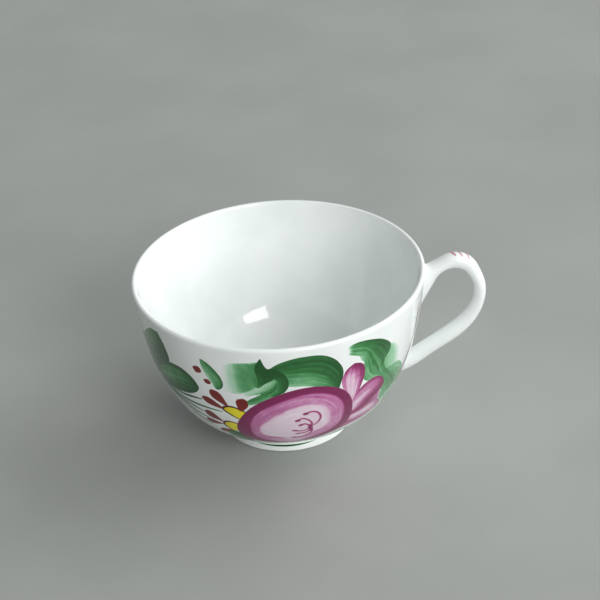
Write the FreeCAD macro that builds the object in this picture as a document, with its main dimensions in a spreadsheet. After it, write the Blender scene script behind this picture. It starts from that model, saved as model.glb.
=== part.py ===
import FreeCAD, Part

import os

import Sketcher

# A low, wide porcelain teacup: a jiggered bowl, a foot ring turned separately and stuck
# under it, and a cast ear handle stuck to the wall with slip at both of its ends.
# Millimetres, +Z up. The origin is the centre of the foot on the table, and the handle
# points along +X.

OUTPUT_FOLDER = "parts"
SIDE_PLANE = "XZ_Plane"
START, END = 1, 2
ORIGIN = (-1, 1)
UP_AXIS = -2

# Every driving dimension: alias, value, what it is.
DIMENSIONS = [
    ("rim_radius", 45.0, "outer radius of the wall where the lip begins"),
    ("rim_height", 52.7, "height of the wall where the lip begins"),
    ("lip_width", 1.7, "wall thickness at the lip, which is a half round"),
    ("upper_curve", 185.0, "outer wall, radius of the nearly straight upper part"),
    ("upper_start", 34.0, "height where the upper part meets the belly"),
    ("belly_curve", 58.0, "outer wall, radius of the belly"),
    ("belly_start", 17.0, "height where the belly meets the lower part"),
    ("lower_curve", 26.0, "outer wall, radius of the part above the foot"),
    ("inner_upper_curve", 183.0, "inner wall, radius of the upper part"),
    ("inner_upper_start", 34.5, "inner wall, height where the upper part begins"),
    ("inner_belly_curve", 62.0, "inner wall, radius of the belly"),
    ("inner_belly_start", 18.5, "inner wall, height where the belly begins"),
    ("inner_lower_curve", 22.8, "inner wall, radius of the part above the floor"),
    ("floor_height", 6.8, "height of the flat floor inside"),
    ("seat_height", 5.2, "height of the face between bowl and foot ring"),
    ("seat_radius", 21.3, "outer radius of that face"),
    ("disc_radius", 16.8, "radius of the disc under the floor that locates the ring"),
    ("disc_height", 3.8, "height of the underside of that disc"),
    ("foot_radius", 20.9, "outer radius of the foot ring near the table"),
    ("foot_neck", 20.2, "outer radius of the foot ring at its narrowest"),
    ("foot_fillet", 1.1, "hollow curve between foot ring and wall"),
    ("foot_edge", 0.5, "rounding of the two edges of the standing face"),
    ("foot_inside", 17.8, "inner radius of the foot ring near the table"),
    ("slip_thickness", 0.4, "layer of slip between the handle's ends and the wall"),
    ("slip_margin", 0.5, "how far the slip stands out around the handle's ends"),
]

# The handle is lofted through ovals square to its centreline, from its upper end inside
# the wall round the loop to its lower end: name, distance from the cup's axis, height,
# direction of the centreline in degrees above +X, depth in the handle's own plane, width.
HANDLE_OVALS = [
    ("upper_end", 42.5, 44.0, 8.0, 14.5, 6.0),
    ("upper_flare", 45.6, 47.0, 12.0, 8.8, 5.6),
    ("upper_neck", 47.6, 49.4, 27.0, 5.4, 5.3),
    ("shoulder", 50.5, 51.4, 25.0, 4.6, 5.2),
    ("thumb_rest", 54.4, 52.4, -2.0, 5.0, 5.3),
    ("top_turn", 58.2, 50.85, -37.0, 4.8, 5.4),
    ("outer_top", 60.3, 47.8, -62.0, 4.1, 5.4),
    ("outer_upper", 61.8, 43.7, -81.0, 3.9, 5.4),
    ("outer_middle", 61.65, 38.15, -104.0, 3.9, 5.5),
    ("outer_lower", 58.9, 32.2, -125.0, 4.3, 5.7),
    ("lower_turn", 53.6, 27.0, -142.0, 4.8, 6.0),
    ("lower_arm", 45.8, 21.7, -148.5, 4.9, 5.8),
    ("lower_root", 36.4, 16.0, -148.5, 5.1, 5.8),
    ("lower_end", 31.0, 14.6, -166.0, 4.0, 5.6),
]
OVALS_AT_EACH_ROOT = 3


def make_sheet(document):
    """The spreadsheet of driving dimensions, one aliased cell each."""
    sheet = document.addObject("Spreadsheet::Sheet", "Dimensions")
    rows = list(DIMENSIONS)
    for name, reach, height, lean, depth, width in HANDLE_OVALS:
        rows.append((name + "_reach", reach, "handle oval, distance from the axis"))
        rows.append((name + "_height", height, "handle oval, height"))
        rows.append((name + "_lean", lean, "handle oval, direction of the centreline"))
        rows.append((name + "_depth", depth, "handle oval, size in the handle's plane"))
        rows.append((name + "_width", width, "handle oval, size across the handle"))
    for row, (alias, value, note) in enumerate(rows, start=1):
        sheet.set("A%d" % row, alias)
        sheet.set("B%d" % row, str(value))
        sheet.setAlias("B%d" % row, alias)
        sheet.set("C%d" % row, note)
    document.recompute()
    return sheet


def new_body(document, name):
    """An empty PartDesign body in the cup's own frame."""
    body = document.addObject("PartDesign::Body", name)
    body.Label = name
    body.Placement = FreeCAD.Placement()
    return body


def new_sketch(body, role, name):
    """An empty sketch on one of the body's own origin planes."""
    planes = [f for f in body.Origin.OriginFeatures if f.Role == role]
    sketch = body.newObject("Sketcher::SketchObject", name)
    sketch.AttachmentSupport = (planes[0], [""])
    sketch.MapMode = "FlatFace"
    return sketch


def line(sketch, first, second):
    """Adds a straight segment between two (radius, height) points."""
    ends = [FreeCAD.Vector(r, z, 0) for r, z in (first, second)]
    return sketch.addGeometry(Part.LineSegment(*ends), False)


def arc(sketch, first, middle, last):
    """Adds an arc through three (radius, height) points, anticlockwise."""
    points = [FreeCAD.Vector(r, z, 0) for r, z in (first, middle, last)]
    return sketch.addGeometry(Part.Arc(*points), False)


def bind(sketch, constraint, expression):
    """Adds a dimension and drives it from the sheet."""
    index = sketch.addConstraint(constraint)
    sketch.setExpression("Constraints[%d]" % index, expression)


def value_of(sketch, expression):
    """What an expression of sheet cells comes to."""
    return float(sketch.evalExpression(expression))


def at_radius(sketch, piece, point, expression):
    """Holds a point at a distance from the cup's axis."""
    value = value_of(sketch, expression)
    bind(sketch, Sketcher.Constraint("DistanceX", *ORIGIN, piece, point, value), expression)


def at_height(sketch, piece, point, expression):
    """Holds a point at a height above the table."""
    value = value_of(sketch, expression)
    bind(sketch, Sketcher.Constraint("DistanceY", *ORIGIN, piece, point, value), expression)


def with_radius(sketch, piece, expression):
    """Gives an arc its radius."""
    value = value_of(sketch, expression)
    bind(sketch, Sketcher.Constraint("Radius", piece, value), expression)


def join(sketch, first, first_point, second, second_point):
    """Makes two ends the same point."""
    sketch.addConstraint(
        Sketcher.Constraint("Coincident", first, first_point, second, second_point)
    )


def flow(sketch, first, first_point, second, second_point):
    """Makes two ends the same point, with no corner there."""
    sketch.addConstraint(
        Sketcher.Constraint("Tangent", first, first_point, second, second_point)
    )


def level(sketch, piece):
    """Makes a segment horizontal."""
    sketch.addConstraint(Sketcher.Constraint("Horizontal", piece))


def upright(sketch, piece):
    """Makes a segment vertical."""
    sketch.addConstraint(Sketcher.Constraint("Vertical", piece))


def on_axis(sketch, piece, point):
    """Holds a point on the cup's axis."""
    sketch.addConstraint(Sketcher.Constraint("PointOnObject", piece, point, UP_AXIS))


def draw_outer_wall(sketch):
    """The outer wall from the seat up to the lip: three arcs with no corners."""
    lower = arc(sketch, (21.3, 5.2), (30.0, 10.2), (35.6, 17.0))
    belly = arc(sketch, (35.6, 17.0), (39.6, 25.5), (42.0, 34.0))
    upper = arc(sketch, (42.0, 34.0), (43.7, 43.0), (45.0, 52.7))
    flow(sketch, lower, END, belly, START)
    flow(sketch, belly, END, upper, START)
    with_radius(sketch, lower, "Dimensions.lower_curve")
    with_radius(sketch, belly, "Dimensions.belly_curve")
    with_radius(sketch, upper, "Dimensions.upper_curve")
    at_height(sketch, belly, START, "Dimensions.belly_start")
    at_height(sketch, upper, START, "Dimensions.upper_start")
    at_radius(sketch, upper, END, "Dimensions.rim_radius")
    at_height(sketch, upper, END, "Dimensions.rim_height")
    return lower, upper


def draw_inner_wall(sketch):
    """The inner wall from the floor up to the lip, and the flat floor to the axis."""
    lower = arc(sketch, (16.0, 6.8), (27.0, 11.0), (33.5, 18.5))
    belly = arc(sketch, (33.5, 18.5), (37.6, 26.5), (40.1, 34.5))
    upper = arc(sketch, (40.1, 34.5), (42.0, 43.5), (43.3, 52.7))
    floor = line(sketch, (16.0, 6.8), (0.0, 6.8))
    flow(sketch, floor, START, lower, START)
    flow(sketch, lower, END, belly, START)
    flow(sketch, belly, END, upper, START)
    level(sketch, floor)
    on_axis(sketch, floor, END)
    with_radius(sketch, lower, "Dimensions.inner_lower_curve")
    with_radius(sketch, belly, "Dimensions.inner_belly_curve")
    with_radius(sketch, upper, "Dimensions.inner_upper_curve")
    at_height(sketch, belly, START, "Dimensions.inner_belly_start")
    at_height(sketch, upper, START, "Dimensions.inner_upper_start")
    at_height(sketch, floor, END, "Dimensions.floor_height")
    at_radius(sketch, upper, END, "Dimensions.rim_radius - Dimensions.lip_width")
    at_height(sketch, upper, END, "Dimensions.rim_height")
    return upper, floor


def spin(body, sketch, name):
    """Turns a closed outline round the cup's axis."""
    turned = body.newObject("PartDesign::Revolution", name)
    turned.Profile = sketch
    turned.ReferenceAxis = (sketch, ["V_Axis"])
    turned.Angle = 360.0
    sketch.Document.recompute()
    return turned


def make_bowl(document):
    """The bowl: wall, half-round lip, floor, and the disc that locates the foot ring."""
    body = new_body(document, "bowl")
    sketch = new_sketch(body, SIDE_PLANE, "bowl_outline")
    lower, outer = draw_outer_wall(sketch)
    inner, floor = draw_inner_wall(sketch)
    lip = arc(sketch, (45.0, 52.7), (44.15, 53.6), (43.3, 52.7))
    flow(sketch, outer, END, lip, START)
    join(sketch, lip, END, inner, END)
    axis = line(sketch, (0.0, 6.8), (0.0, 3.8))
    disc = line(sketch, (0.0, 3.8), (16.8, 3.8))
    disc_side = line(sketch, (16.8, 3.8), (16.8, 5.2))
    seat = line(sketch, (16.8, 5.2), (21.3, 5.2))
    join(sketch, floor, END, axis, START)
    join(sketch, axis, END, disc, START)
    join(sketch, disc, END, disc_side, START)
    join(sketch, disc_side, END, seat, START)
    join(sketch, seat, END, lower, START)
    on_axis(sketch, axis, END)
    level(sketch, disc)
    upright(sketch, disc_side)
    level(sketch, seat)
    at_height(sketch, disc, START, "Dimensions.disc_height")
    at_radius(sketch, disc, END, "Dimensions.disc_radius")
    at_height(sketch, seat, START, "Dimensions.seat_height")
    at_radius(sketch, seat, END, "Dimensions.seat_radius")
    spin(body, sketch, "bowl_form")
    return body


def make_filled_bowl(document):
    """The bowl as if it were solid, which the handle's ends are trimmed against."""
    body = new_body(document, "filled_bowl")
    sketch = new_sketch(body, SIDE_PLANE, "filled_outline")
    lower, outer = draw_outer_wall(sketch)
    top = line(sketch, (45.0, 52.7), (0.0, 52.7))
    axis = line(sketch, (0.0, 52.7), (0.0, 5.2))
    seat = line(sketch, (0.0, 5.2), (21.3, 5.2))
    join(sketch, outer, END, top, START)
    join(sketch, top, END, axis, START)
    join(sketch, axis, END, seat, START)
    join(sketch, seat, END, lower, START)
    level(sketch, top)
    on_axis(sketch, axis, START)
    on_axis(sketch, axis, END)
    level(sketch, seat)
    at_height(sketch, seat, START, "Dimensions.seat_height")
    at_radius(sketch, seat, END, "Dimensions.seat_radius")
    spin(body, sketch, "filled_form")
    return body


def make_foot_ring(document):
    """The foot ring: a rounded standing face, and a hollow curve up to the wall."""
    body = new_body(document, "foot_ring")
    sketch = new_sketch(body, SIDE_PLANE, "foot_outline")
    standing = line(sketch, (18.3, 0.0), (20.4, 0.0))
    outer_edge = arc(sketch, (20.4, 0.0), (20.75, 0.15), (20.9, 0.5))
    outside = line(sketch, (20.9, 0.5), (20.2, 4.1))
    hollow = arc(sketch, (21.3, 5.2), (20.5, 4.9), (20.2, 4.1))
    seat = line(sketch, (21.3, 5.2), (16.8, 5.2))
    disc_side = line(sketch, (16.8, 5.2), (16.8, 3.8))
    inside = line(sketch, (16.8, 3.8), (17.8, 0.5))
    inner_edge = arc(sketch, (17.8, 0.5), (17.95, 0.15), (18.3, 0.0))
    flow(sketch, standing, END, outer_edge, START)
    flow(sketch, outer_edge, END, outside, START)
    flow(sketch, outside, END, hollow, END)
    join(sketch, hollow, START, seat, START)
    join(sketch, seat, END, disc_side, START)
    join(sketch, disc_side, END, inside, START)
    flow(sketch, inside, END, inner_edge, START)
    flow(sketch, inner_edge, END, standing, START)
    level(sketch, standing)
    level(sketch, seat)
    upright(sketch, disc_side)
    with_radius(sketch, outer_edge, "Dimensions.foot_edge")
    with_radius(sketch, inner_edge, "Dimensions.foot_edge")
    with_radius(sketch, hollow, "Dimensions.foot_fillet")
    sketch.addConstraint(Sketcher.Constraint("PointOnObject", standing, START, -1))
    at_radius(sketch, outside, START, "Dimensions.foot_radius")
    at_radius(sketch, outside, END, "Dimensions.foot_neck")
    at_radius(sketch, inside, END, "Dimensions.foot_inside")
    at_height(sketch, seat, START, "Dimensions.seat_height")
    at_radius(sketch, seat, START, "Dimensions.seat_radius")
    at_radius(sketch, seat, END, "Dimensions.disc_radius")
    at_height(sketch, disc_side, END, "Dimensions.disc_height")
    spin(body, sketch, "foot_form")
    return body


def make_oval(document, sheet, name, station, margin):
    """One closed oval of the handle, square to its centreline, grown by a margin."""
    reach, height, lean, depth, width = [
        float(sheet.get("%s_%s" % (station, part)))
        for part in ("reach", "height", "lean", "depth", "width")
    ]
    circle = Part.Circle(FreeCAD.Vector(), FreeCAD.Vector(0, 0, 1), 1.0).toBSpline()
    for index, pole in enumerate(circle.getPoles(), start=1):
        across = pole.x * (width / 2 + margin)
        along = pole.y * (depth / 2 + margin)
        circle.setPole(index, FreeCAD.Vector(across, along, 0))
    oval = document.addObject("Part::Feature", name)
    oval.Shape = Part.Wire(circle.toShape())
    to_side = FreeCAD.Rotation(FreeCAD.Vector(0, 0, 1), 90)
    to_upright = FreeCAD.Rotation(FreeCAD.Vector(0, 1, 0), 90 - lean)
    oval.Placement = FreeCAD.Placement(
        FreeCAD.Vector(reach, 0, height), to_upright.multiply(to_side)
    )
    return oval


def make_loft(document, sheet, name, stations, margin=0.0):
    """A smooth solid through some of the handle's ovals."""
    loft = document.addObject("Part::Loft", name)
    loft.Sections = [
        make_oval(document, sheet, "%s_%s" % (name, station), station, margin)
        for station in stations
    ]
    loft.Solid = True
    loft.Ruled = False
    document.recompute()
    return loft


def combine(document, kind, name, base, tool):
    """A boolean of two objects."""
    result = document.addObject(kind, name)
    result.Base = base
    result.Tool = tool
    result.Label = name
    result.Placement = FreeCAD.Placement()
    document.recompute()
    return result


def make_handle_and_joints(document, sheet, filled_bowl):
    """The handle, which stops short of the wall, and the slip that fills the two gaps."""
    slip_face = document.addObject("Part::Offset", "slip_face")
    slip_face.Source = filled_bowl
    slip_face.setExpression("Value", "Dimensions.slip_thickness")
    document.recompute()

    stations = [station[0] for station in HANDLE_OVALS]
    loop = make_loft(document, sheet, "handle_loop", stations)
    handle = combine(document, "Part::Cut", "handle", loop, slip_face)

    margin = float(sheet.slip_margin)
    joints = []
    for name, roots in (
        ("handle_joint_upper", stations[:OVALS_AT_EACH_ROOT]),
        ("handle_joint_lower", stations[-OVALS_AT_EACH_ROOT:]),
    ):
        root = make_loft(document, sheet, name + "_root", roots, margin)
        outside = combine(document, "Part::Cut", name + "_outside", root, filled_bowl)
        joints.append(combine(document, "Part::Common", name, outside, slip_face))
    return [handle] + joints


def check(document, nodes):
    """Stops unless every object computed and every sub-part is one valid solid."""
    for item in document.Objects:
        if {"Invalid", "Error"} & set(item.State):
            raise RuntimeError("%s failed: %s" % (item.Name, item.State))
    for node in nodes:
        shape = node.Shape
        if shape.isNull() or not shape.isValid() or len(shape.Solids) != 1:
            raise RuntimeError("%s is not one valid solid" % node.Label)


def main():
    """Builds the cup and writes one file for each of its pieces."""
    document = FreeCAD.newDocument("teacup")
    sheet = make_sheet(document)
    bowl = make_bowl(document)
    foot_ring = make_foot_ring(document)
    filled_bowl = make_filled_bowl(document)
    nodes = [bowl, foot_ring] + make_handle_and_joints(document, sheet, filled_bowl)
    document.recompute()
    check(document, nodes)
    os.makedirs(OUTPUT_FOLDER, exist_ok=True)
    for node in nodes:
        node.Shape.exportStep(os.path.join(OUTPUT_FOLDER, node.Label + ".step"))
        box = node.Shape.BoundBox
        print(
            "%-20s volume %8.1f  x %.2f..%.2f  y %.2f..%.2f  z %.2f..%.2f"
            % (
                node.Label, node.Shape.Volume,
                box.XMin, box.XMax, box.YMin, box.YMax, box.ZMin, box.ZMax,
            )
        )


main()
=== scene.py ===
import math

import bpy
import numpy as np
from mathutils import Matrix, Vector


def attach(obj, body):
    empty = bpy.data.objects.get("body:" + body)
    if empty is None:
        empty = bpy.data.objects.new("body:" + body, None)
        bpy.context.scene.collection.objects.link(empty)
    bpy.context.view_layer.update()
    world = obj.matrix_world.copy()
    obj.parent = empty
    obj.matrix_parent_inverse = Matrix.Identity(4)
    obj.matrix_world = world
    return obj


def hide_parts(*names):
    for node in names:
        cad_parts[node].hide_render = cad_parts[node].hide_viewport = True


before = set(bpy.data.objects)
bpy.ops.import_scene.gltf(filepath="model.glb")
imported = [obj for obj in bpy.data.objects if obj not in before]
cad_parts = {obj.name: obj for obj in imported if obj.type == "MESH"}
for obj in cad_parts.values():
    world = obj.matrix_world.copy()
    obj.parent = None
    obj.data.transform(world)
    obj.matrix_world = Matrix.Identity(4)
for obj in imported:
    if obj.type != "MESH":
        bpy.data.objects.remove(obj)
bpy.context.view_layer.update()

# A low porcelain teacup with a painted rose. Lengths here are millimetres unless a name
# ends in _M, and every mesh is turned into metres where it is made.
METRES = 0.001

# ---- Outlines
# As in the CAD model: (distance from the axis, height). An arc goes from one point to the
# next round a centre on its left, or on its right where the radius is below zero. Walls are
# lists of (end, radius). Steps are the longest distances between points.
SEAT_HEIGHT = 5.2
SEAT_RADIUS = 21.3
FLOOR_HEIGHT = 6.8
DISC_RADIUS = 16.8
DISC_HEIGHT = 3.8

OUTER_WALL = [((35.707, 17.0), 26.0), ((42.125, 34.0), 58.0), ((45.0, 52.7), 185.0)]
LIP = ((43.3, 52.7), 0.854)
INNER_WALL = [((39.983, 34.5), -183.0), ((33.784, 18.5), -62.0), ((13.868, FLOOR_HEIGHT), -22.8)]

# The glaze that fills the corner between the disc and the foot ring.
GLAZE_POOL_INWARDS = 1.3
GLAZE_POOL_DOWN = 0.95
GLAZE_POOL_RADIUS = -1.35
GLAZE_POOL_INTO_RING = 0.27
BOWL_INTO_RING = 0.6

SOLE_INNER = 18.28
SOLE_OUTER = 20.41
RING_SIDE = ((20.9, 0.605), (20.2, 3.87))
RING_INSIDE = (17.8, 0.36)
RING_CORNER_RADIUS = 0.5
SEAT_FILLET_RADIUS = -1.1

WALL_STEP = 1.0
RING_STEP = 0.5
SOLE_STEP = 0.4
HIDDEN_STEP = 1.5
CURVE_STEP = 0.15
CORNER_STEP = 0.1
REVOLVED_SEGMENTS = 288


def arc(start, end, radius, step):
    """Points along an arc, without its first one."""
    start, end = np.array(start, float), np.array(end, float)
    chord = end - start
    length = np.hypot(*chord)
    left = np.array([-chord[1], chord[0]]) / length * math.copysign(1.0, radius)
    away = math.sqrt(max(radius * radius - length * length / 4, 0.0))
    centre = (start + end) / 2 + left * away
    first = math.atan2(*(start - centre)[::-1])
    turn = 2 * math.asin(min(1.0, length / 2 / abs(radius))) * math.copysign(1.0, radius)
    count = max(3, math.ceil(abs(turn * radius) / step))
    angles = first + turn * np.arange(1, count + 1) / count
    return centre + abs(radius) * np.stack([np.cos(angles), np.sin(angles)], 1)


def line(start, end, step):
    """Points along a straight run, without its first one."""
    start, end = np.array(start, float), np.array(end, float)
    count = max(1, math.ceil(np.hypot(*(end - start)) / step))
    return start + (end - start) * np.arange(1, count + 1)[:, None] / count


def trace(start, *runs):
    """Points from a start through runs: (end, step) if straight, (end, step, radius) if an arc."""
    parts = [np.array([start], float)]
    for end, step, *radius in runs:
        parts.append(arc(start, end, *radius, step) if radius else line(start, end, step))
        start = end
    return np.concatenate(parts)


def wall_runs(wall, step):
    """The arcs of a wall, for trace."""
    return [(end, step, radius) for end, radius in wall]


def bowl_outline():
    """From the axis under the floor, out and up the wall, over the lip and back inside.

    The corner between the disc under the floor and the foot ring is filled with glaze.
    """
    hidden_radius = DISC_RADIUS + BOWL_INTO_RING
    return trace(
        (0.0, DISC_HEIGHT),
        ((DISC_RADIUS - GLAZE_POOL_INWARDS, DISC_HEIGHT), WALL_STEP),
        ((DISC_RADIUS + GLAZE_POOL_INTO_RING, DISC_HEIGHT - GLAZE_POOL_DOWN), CURVE_STEP,
         GLAZE_POOL_RADIUS),
        ((hidden_radius, DISC_HEIGHT), WALL_STEP),
        ((hidden_radius, SEAT_HEIGHT), WALL_STEP),
        ((SEAT_RADIUS, SEAT_HEIGHT), WALL_STEP),
        *wall_runs(OUTER_WALL, WALL_STEP),
        *wall_runs([LIP], CURVE_STEP),
        *wall_runs(INNER_WALL, WALL_STEP),
        ((0.0, FLOOR_HEIGHT), WALL_STEP))


def foot_ring_outline():
    """Closed, from the inner end of the standing face, outwards and up."""
    low, high = RING_SIDE
    return trace(
        (SOLE_INNER, 0.0),
        ((SOLE_OUTER, 0.0), SOLE_STEP),
        (low, CORNER_STEP, RING_CORNER_RADIUS),
        (high, RING_STEP),
        ((SEAT_RADIUS, SEAT_HEIGHT), CURVE_STEP, SEAT_FILLET_RADIUS),
        ((DISC_RADIUS, SEAT_HEIGHT), HIDDEN_STEP),
        ((DISC_RADIUS, DISC_HEIGHT), RING_STEP),
        (RING_INSIDE, RING_STEP),
        ((SOLE_INNER, 0.0), CORNER_STEP, RING_CORNER_RADIUS))[1:]


# ---- The outer wall as a surface to paint on
# Its coordinates are an angle about the axis in degrees, 0 at the handle and -90 at the
# front, and the length up the wall from the foot ring.
FINE_STEP = 0.2
WALL = trace((SEAT_RADIUS, SEAT_HEIGHT), *wall_runs(OUTER_WALL, FINE_STEP))
WALL_LENGTH = np.concatenate([[0.0], np.cumsum(np.hypot(*np.diff(WALL, axis=0).T))])
SLOPE_REACH = 0.4
PAINTING_TURN = 0.85


def on_turned(angle, reach, height, level, up, lift):
    """Points turned about the axis and lifted off, and their outward directions."""
    normals = np.stack([level * np.cos(angle), level * np.sin(angle), up], -1)
    points = np.stack([reach * np.cos(angle), reach * np.sin(angle), height], -1)
    return points + normals * np.asarray(lift)[..., None], normals


def wall_at(length):
    """Distance from the axis and height, at a length up the wall."""
    length = np.clip(length, 0, WALL_LENGTH[-1])
    return np.interp(length, WALL_LENGTH, WALL[:, 0]), np.interp(length, WALL_LENGTH, WALL[:, 1])


def on_wall(angle, length, lift):
    """Points and outward directions on the wall, lifted off it."""
    reach, height = wall_at(length)
    reach_ahead, height_ahead = wall_at(length + SLOPE_REACH)
    reach_behind, height_behind = wall_at(length - SLOPE_REACH)
    run, rise = reach_ahead - reach_behind, height_ahead - height_behind
    size = np.hypot(run, rise)
    return on_turned(np.radians(angle), reach, height, rise / size, -run / size, lift)


def on_painted_wall(angle, length, lift):
    """The wall, with the painting's angles turned onto it."""
    return on_wall(angle + PAINTING_TURN, length, lift)


def on_ring(angle, height, lift):
    """Points and outward directions on the outside of the foot ring."""
    (low_reach, low), (high_reach, high) = RING_SIDE
    reach = np.interp(height, (low, high), (low_reach, high_reach))
    slant = math.atan2(low_reach - high_reach, high - low)
    up = np.full(np.shape(angle), math.sin(slant))
    return on_turned(np.radians(angle), reach, height, math.cos(slant), up, lift)


def outside_wall(points):
    """How far points are outside the wall, measured level."""
    reach = np.hypot(points[..., 0], points[..., 1])
    return reach - np.interp(points[..., 2], WALL[:, 1], WALL[:, 0])


def wall_place(points):
    """The wall coordinates nearest to points that are close to the wall."""
    angle = np.degrees(np.arctan2(points[..., 1], points[..., 0]))
    return angle, np.interp(points[..., 2], WALL[:, 1], WALL_LENGTH)


# ---- Curves
def spline(knots, values, at):
    """A natural cubic spline through rows of values at the knots, read at some places."""
    knots, values, at = np.asarray(knots, float), np.asarray(values, float), np.asarray(at, float)
    gaps = np.diff(knots)
    slopes = np.diff(values, axis=0) / gaps[:, None]
    system = np.eye(len(knots))
    target = np.zeros_like(values)
    for i in range(1, len(knots) - 1):
        system[i, i - 1:i + 2] = gaps[i - 1], 2 * (gaps[i - 1] + gaps[i]), gaps[i]
        target[i] = 6 * (slopes[i] - slopes[i - 1])
    bend = np.linalg.solve(system, target)
    k = np.clip(np.searchsorted(knots, at, "right") - 1, 0, len(knots) - 2)
    t = (at - knots[k])[:, None]
    gap = gaps[k][:, None]
    return (values[k] + t * (slopes[k] - gap * (2 * bend[k] + bend[k + 1]) / 6)
            + t ** 2 * bend[k] / 2 + t ** 3 * (bend[k + 1] - bend[k]) / (6 * gap))


DEGREE_ON_WALL = 0.7


def knots_by_length(points):
    """Distance along the polygon through wall coordinates, for a spline's knots."""
    steps = np.diff(points[:, :2], axis=0) * (DEGREE_ON_WALL, 1.0)
    return np.concatenate([[0.0], np.cumsum(np.hypot(*steps.T))])


def smooth_line(points, count):
    """Evenly spaced rows along a smooth line through rows that start with wall coordinates."""
    points = np.array(points, float)
    knots = knots_by_length(points)
    return spline(knots, points, np.linspace(0, knots[-1], count))


def smooth_loop(points, count):
    """Evenly spaced rows round a smooth closed line."""
    points = np.array(points, float)
    overlap = 3
    wrapped = np.concatenate([points[-overlap:], points, points[:overlap + 1]])
    knots = knots_by_length(wrapped)
    first, last = knots[overlap], knots[overlap + len(points)]
    return spline(knots, wrapped, np.linspace(first, last, count, endpoint=False))


# ---- Meshes
def make_object(name, points, faces, normals=None):
    """A smooth-shaded mesh object from points in millimetres."""
    mesh = bpy.data.meshes.new(name)
    mesh.from_pydata((np.asarray(points) * METRES).tolist(), [], faces)
    mesh.validate()
    mesh.shade_smooth()
    if normals is not None:
        mesh.normals_split_custom_set_from_vertices(np.asarray(normals).tolist())
    made = bpy.data.objects.new(name, mesh)
    bpy.context.scene.collection.objects.link(made)
    return made


def loop_quads(number):
    """Faces between rows of point numbers, where each row closes on itself."""
    ahead = np.roll(number, -1, axis=1)
    return np.stack([number[:-1], ahead[:-1], ahead[1:], number[1:]], -1).reshape(-1, 4)


def fan(middle, rim):
    """Triangles between a middle point's number and those of a closed rim."""
    return [(middle, here, after) for here, after in zip(rim, np.roll(rim, -1))]


def tube(name, rings, closed=False):
    """A solid skinned over rings of points: capped at both ends, or closed on itself."""
    count, around = rings.shape[:2]
    points = rings.reshape(-1, 3)
    number = np.arange(count * around).reshape(count, around)
    if closed:
        return make_object(name, points, loop_quads(np.concatenate([number, number[:1]])).tolist())
    first, last = len(points), len(points) + 1
    points = np.concatenate([points, [rings[0].mean(0), rings[-1].mean(0)]])
    caps = fan(first, number[0, ::-1]) + fan(last, number[-1])
    return make_object(name, points, loop_quads(number).tolist() + caps)


def revolve(name, outline, closed):
    """A solid of revolution. An open outline starts and ends on the axis."""
    angles = 2 * np.pi * np.arange(REVOLVED_SEGMENTS) / REVOLVED_SEGMENTS
    rows = outline if closed else outline[1:-1]
    reach, height = rows[:, :1], rows[:, 1:]
    rings = np.stack([reach * np.cos(angles), reach * np.sin(angles), height + 0 * angles], -1)
    return tube(name, rings, closed)


def point_outwards(piece):
    """Turns all faces of a closed mesh outwards."""
    bpy.context.view_layer.objects.active = piece
    bpy.ops.object.mode_set(mode="EDIT")
    bpy.ops.mesh.select_all(action="SELECT")
    bpy.ops.mesh.normals_make_consistent(inside=False)
    bpy.ops.object.mode_set(mode="OBJECT")


# ---- The handle
# Ovals square to a centreline in the plane of +X and +Z, as in the CAD model: distance from
# the cup's axis, height, direction of the centreline in degrees above +X, depth in the
# handle's own plane, and width.
OVALS = np.array([
    (42.5, 44.0, 8.0, 14.5, 6.0),
    (45.6, 47.0, 12.0, 8.8, 5.6),
    (47.6, 49.4, 27.0, 5.4, 5.3),
    (50.5, 51.4, 25.0, 4.6, 5.2),
    (54.4, 52.4, -2.0, 5.0, 5.3),
    (58.2, 50.85, -37.0, 4.8, 5.4),
    (60.3, 47.8, -62.0, 4.1, 5.4),
    (61.8, 43.7, -81.0, 3.9, 5.4),
    (61.65, 38.15, -104.0, 3.9, 5.5),
    (58.9, 32.2, -125.0, 4.3, 5.7),
    (53.6, 27.0, -142.0, 4.8, 6.0),
    (45.8, 21.7, -148.5, 4.9, 5.8),
    (36.4, 16.0, -148.5, 5.1, 5.8),
    (31.0, 14.6, -166.0, 4.0, 5.6),
])
OVAL_KNOTS = np.concatenate([[0.0], np.cumsum(np.hypot(*np.diff(OVALS[:, :2], axis=0).T))])
HANDLE_AROUND = 72
HANDLE_STEP = 0.5
INTO_WALL = 0.7
# The handle meets the wall within this length of its upper end, and in the part of its
# length that is left after this share.
UPPER_SEARCH = 12.0
LOWER_SEARCH_SHARE = 0.7
HALVINGS = 40

# The slip reaches this far along the handle and along the wall, and goes a little into both.
SLIP_FILLET = 1.6
SLIP_CURVE_POINTS = 12
SLIP_ON_HANDLE = 0.004
SLIP_ON_WALL = -0.006
SLIP_DEPTH = -0.4
SLIP_CORNER_DEPTH = 0.3


def on_handle(along, turn, lift):
    """Points on the handle: a length along it and an angle round it, 0 on its outside."""
    shape = np.broadcast(along, turn).shape
    along = np.broadcast_to(along, shape)
    reach, height, lean, depth, width = spline(OVAL_KNOTS, OVALS, along.ravel()).T
    lean = np.radians(lean)
    turn = np.broadcast_to(turn, shape).ravel()
    in_plane, across = np.cos(turn), np.sin(turn)
    point = np.stack([reach - np.sin(lean) * in_plane * depth / 2, across * width / 2,
                      height + np.cos(lean) * in_plane * depth / 2], -1)
    normal = np.stack([-np.sin(lean) * in_plane / depth, across / width,
                       np.cos(lean) * in_plane / depth], -1)
    normal /= np.linalg.norm(normal, axis=-1, keepdims=True)
    point = point + normal * np.broadcast_to(lift, shape).ravel()[:, None]
    return point.reshape(shape + (3,)), normal.reshape(shape + (3,))


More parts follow.
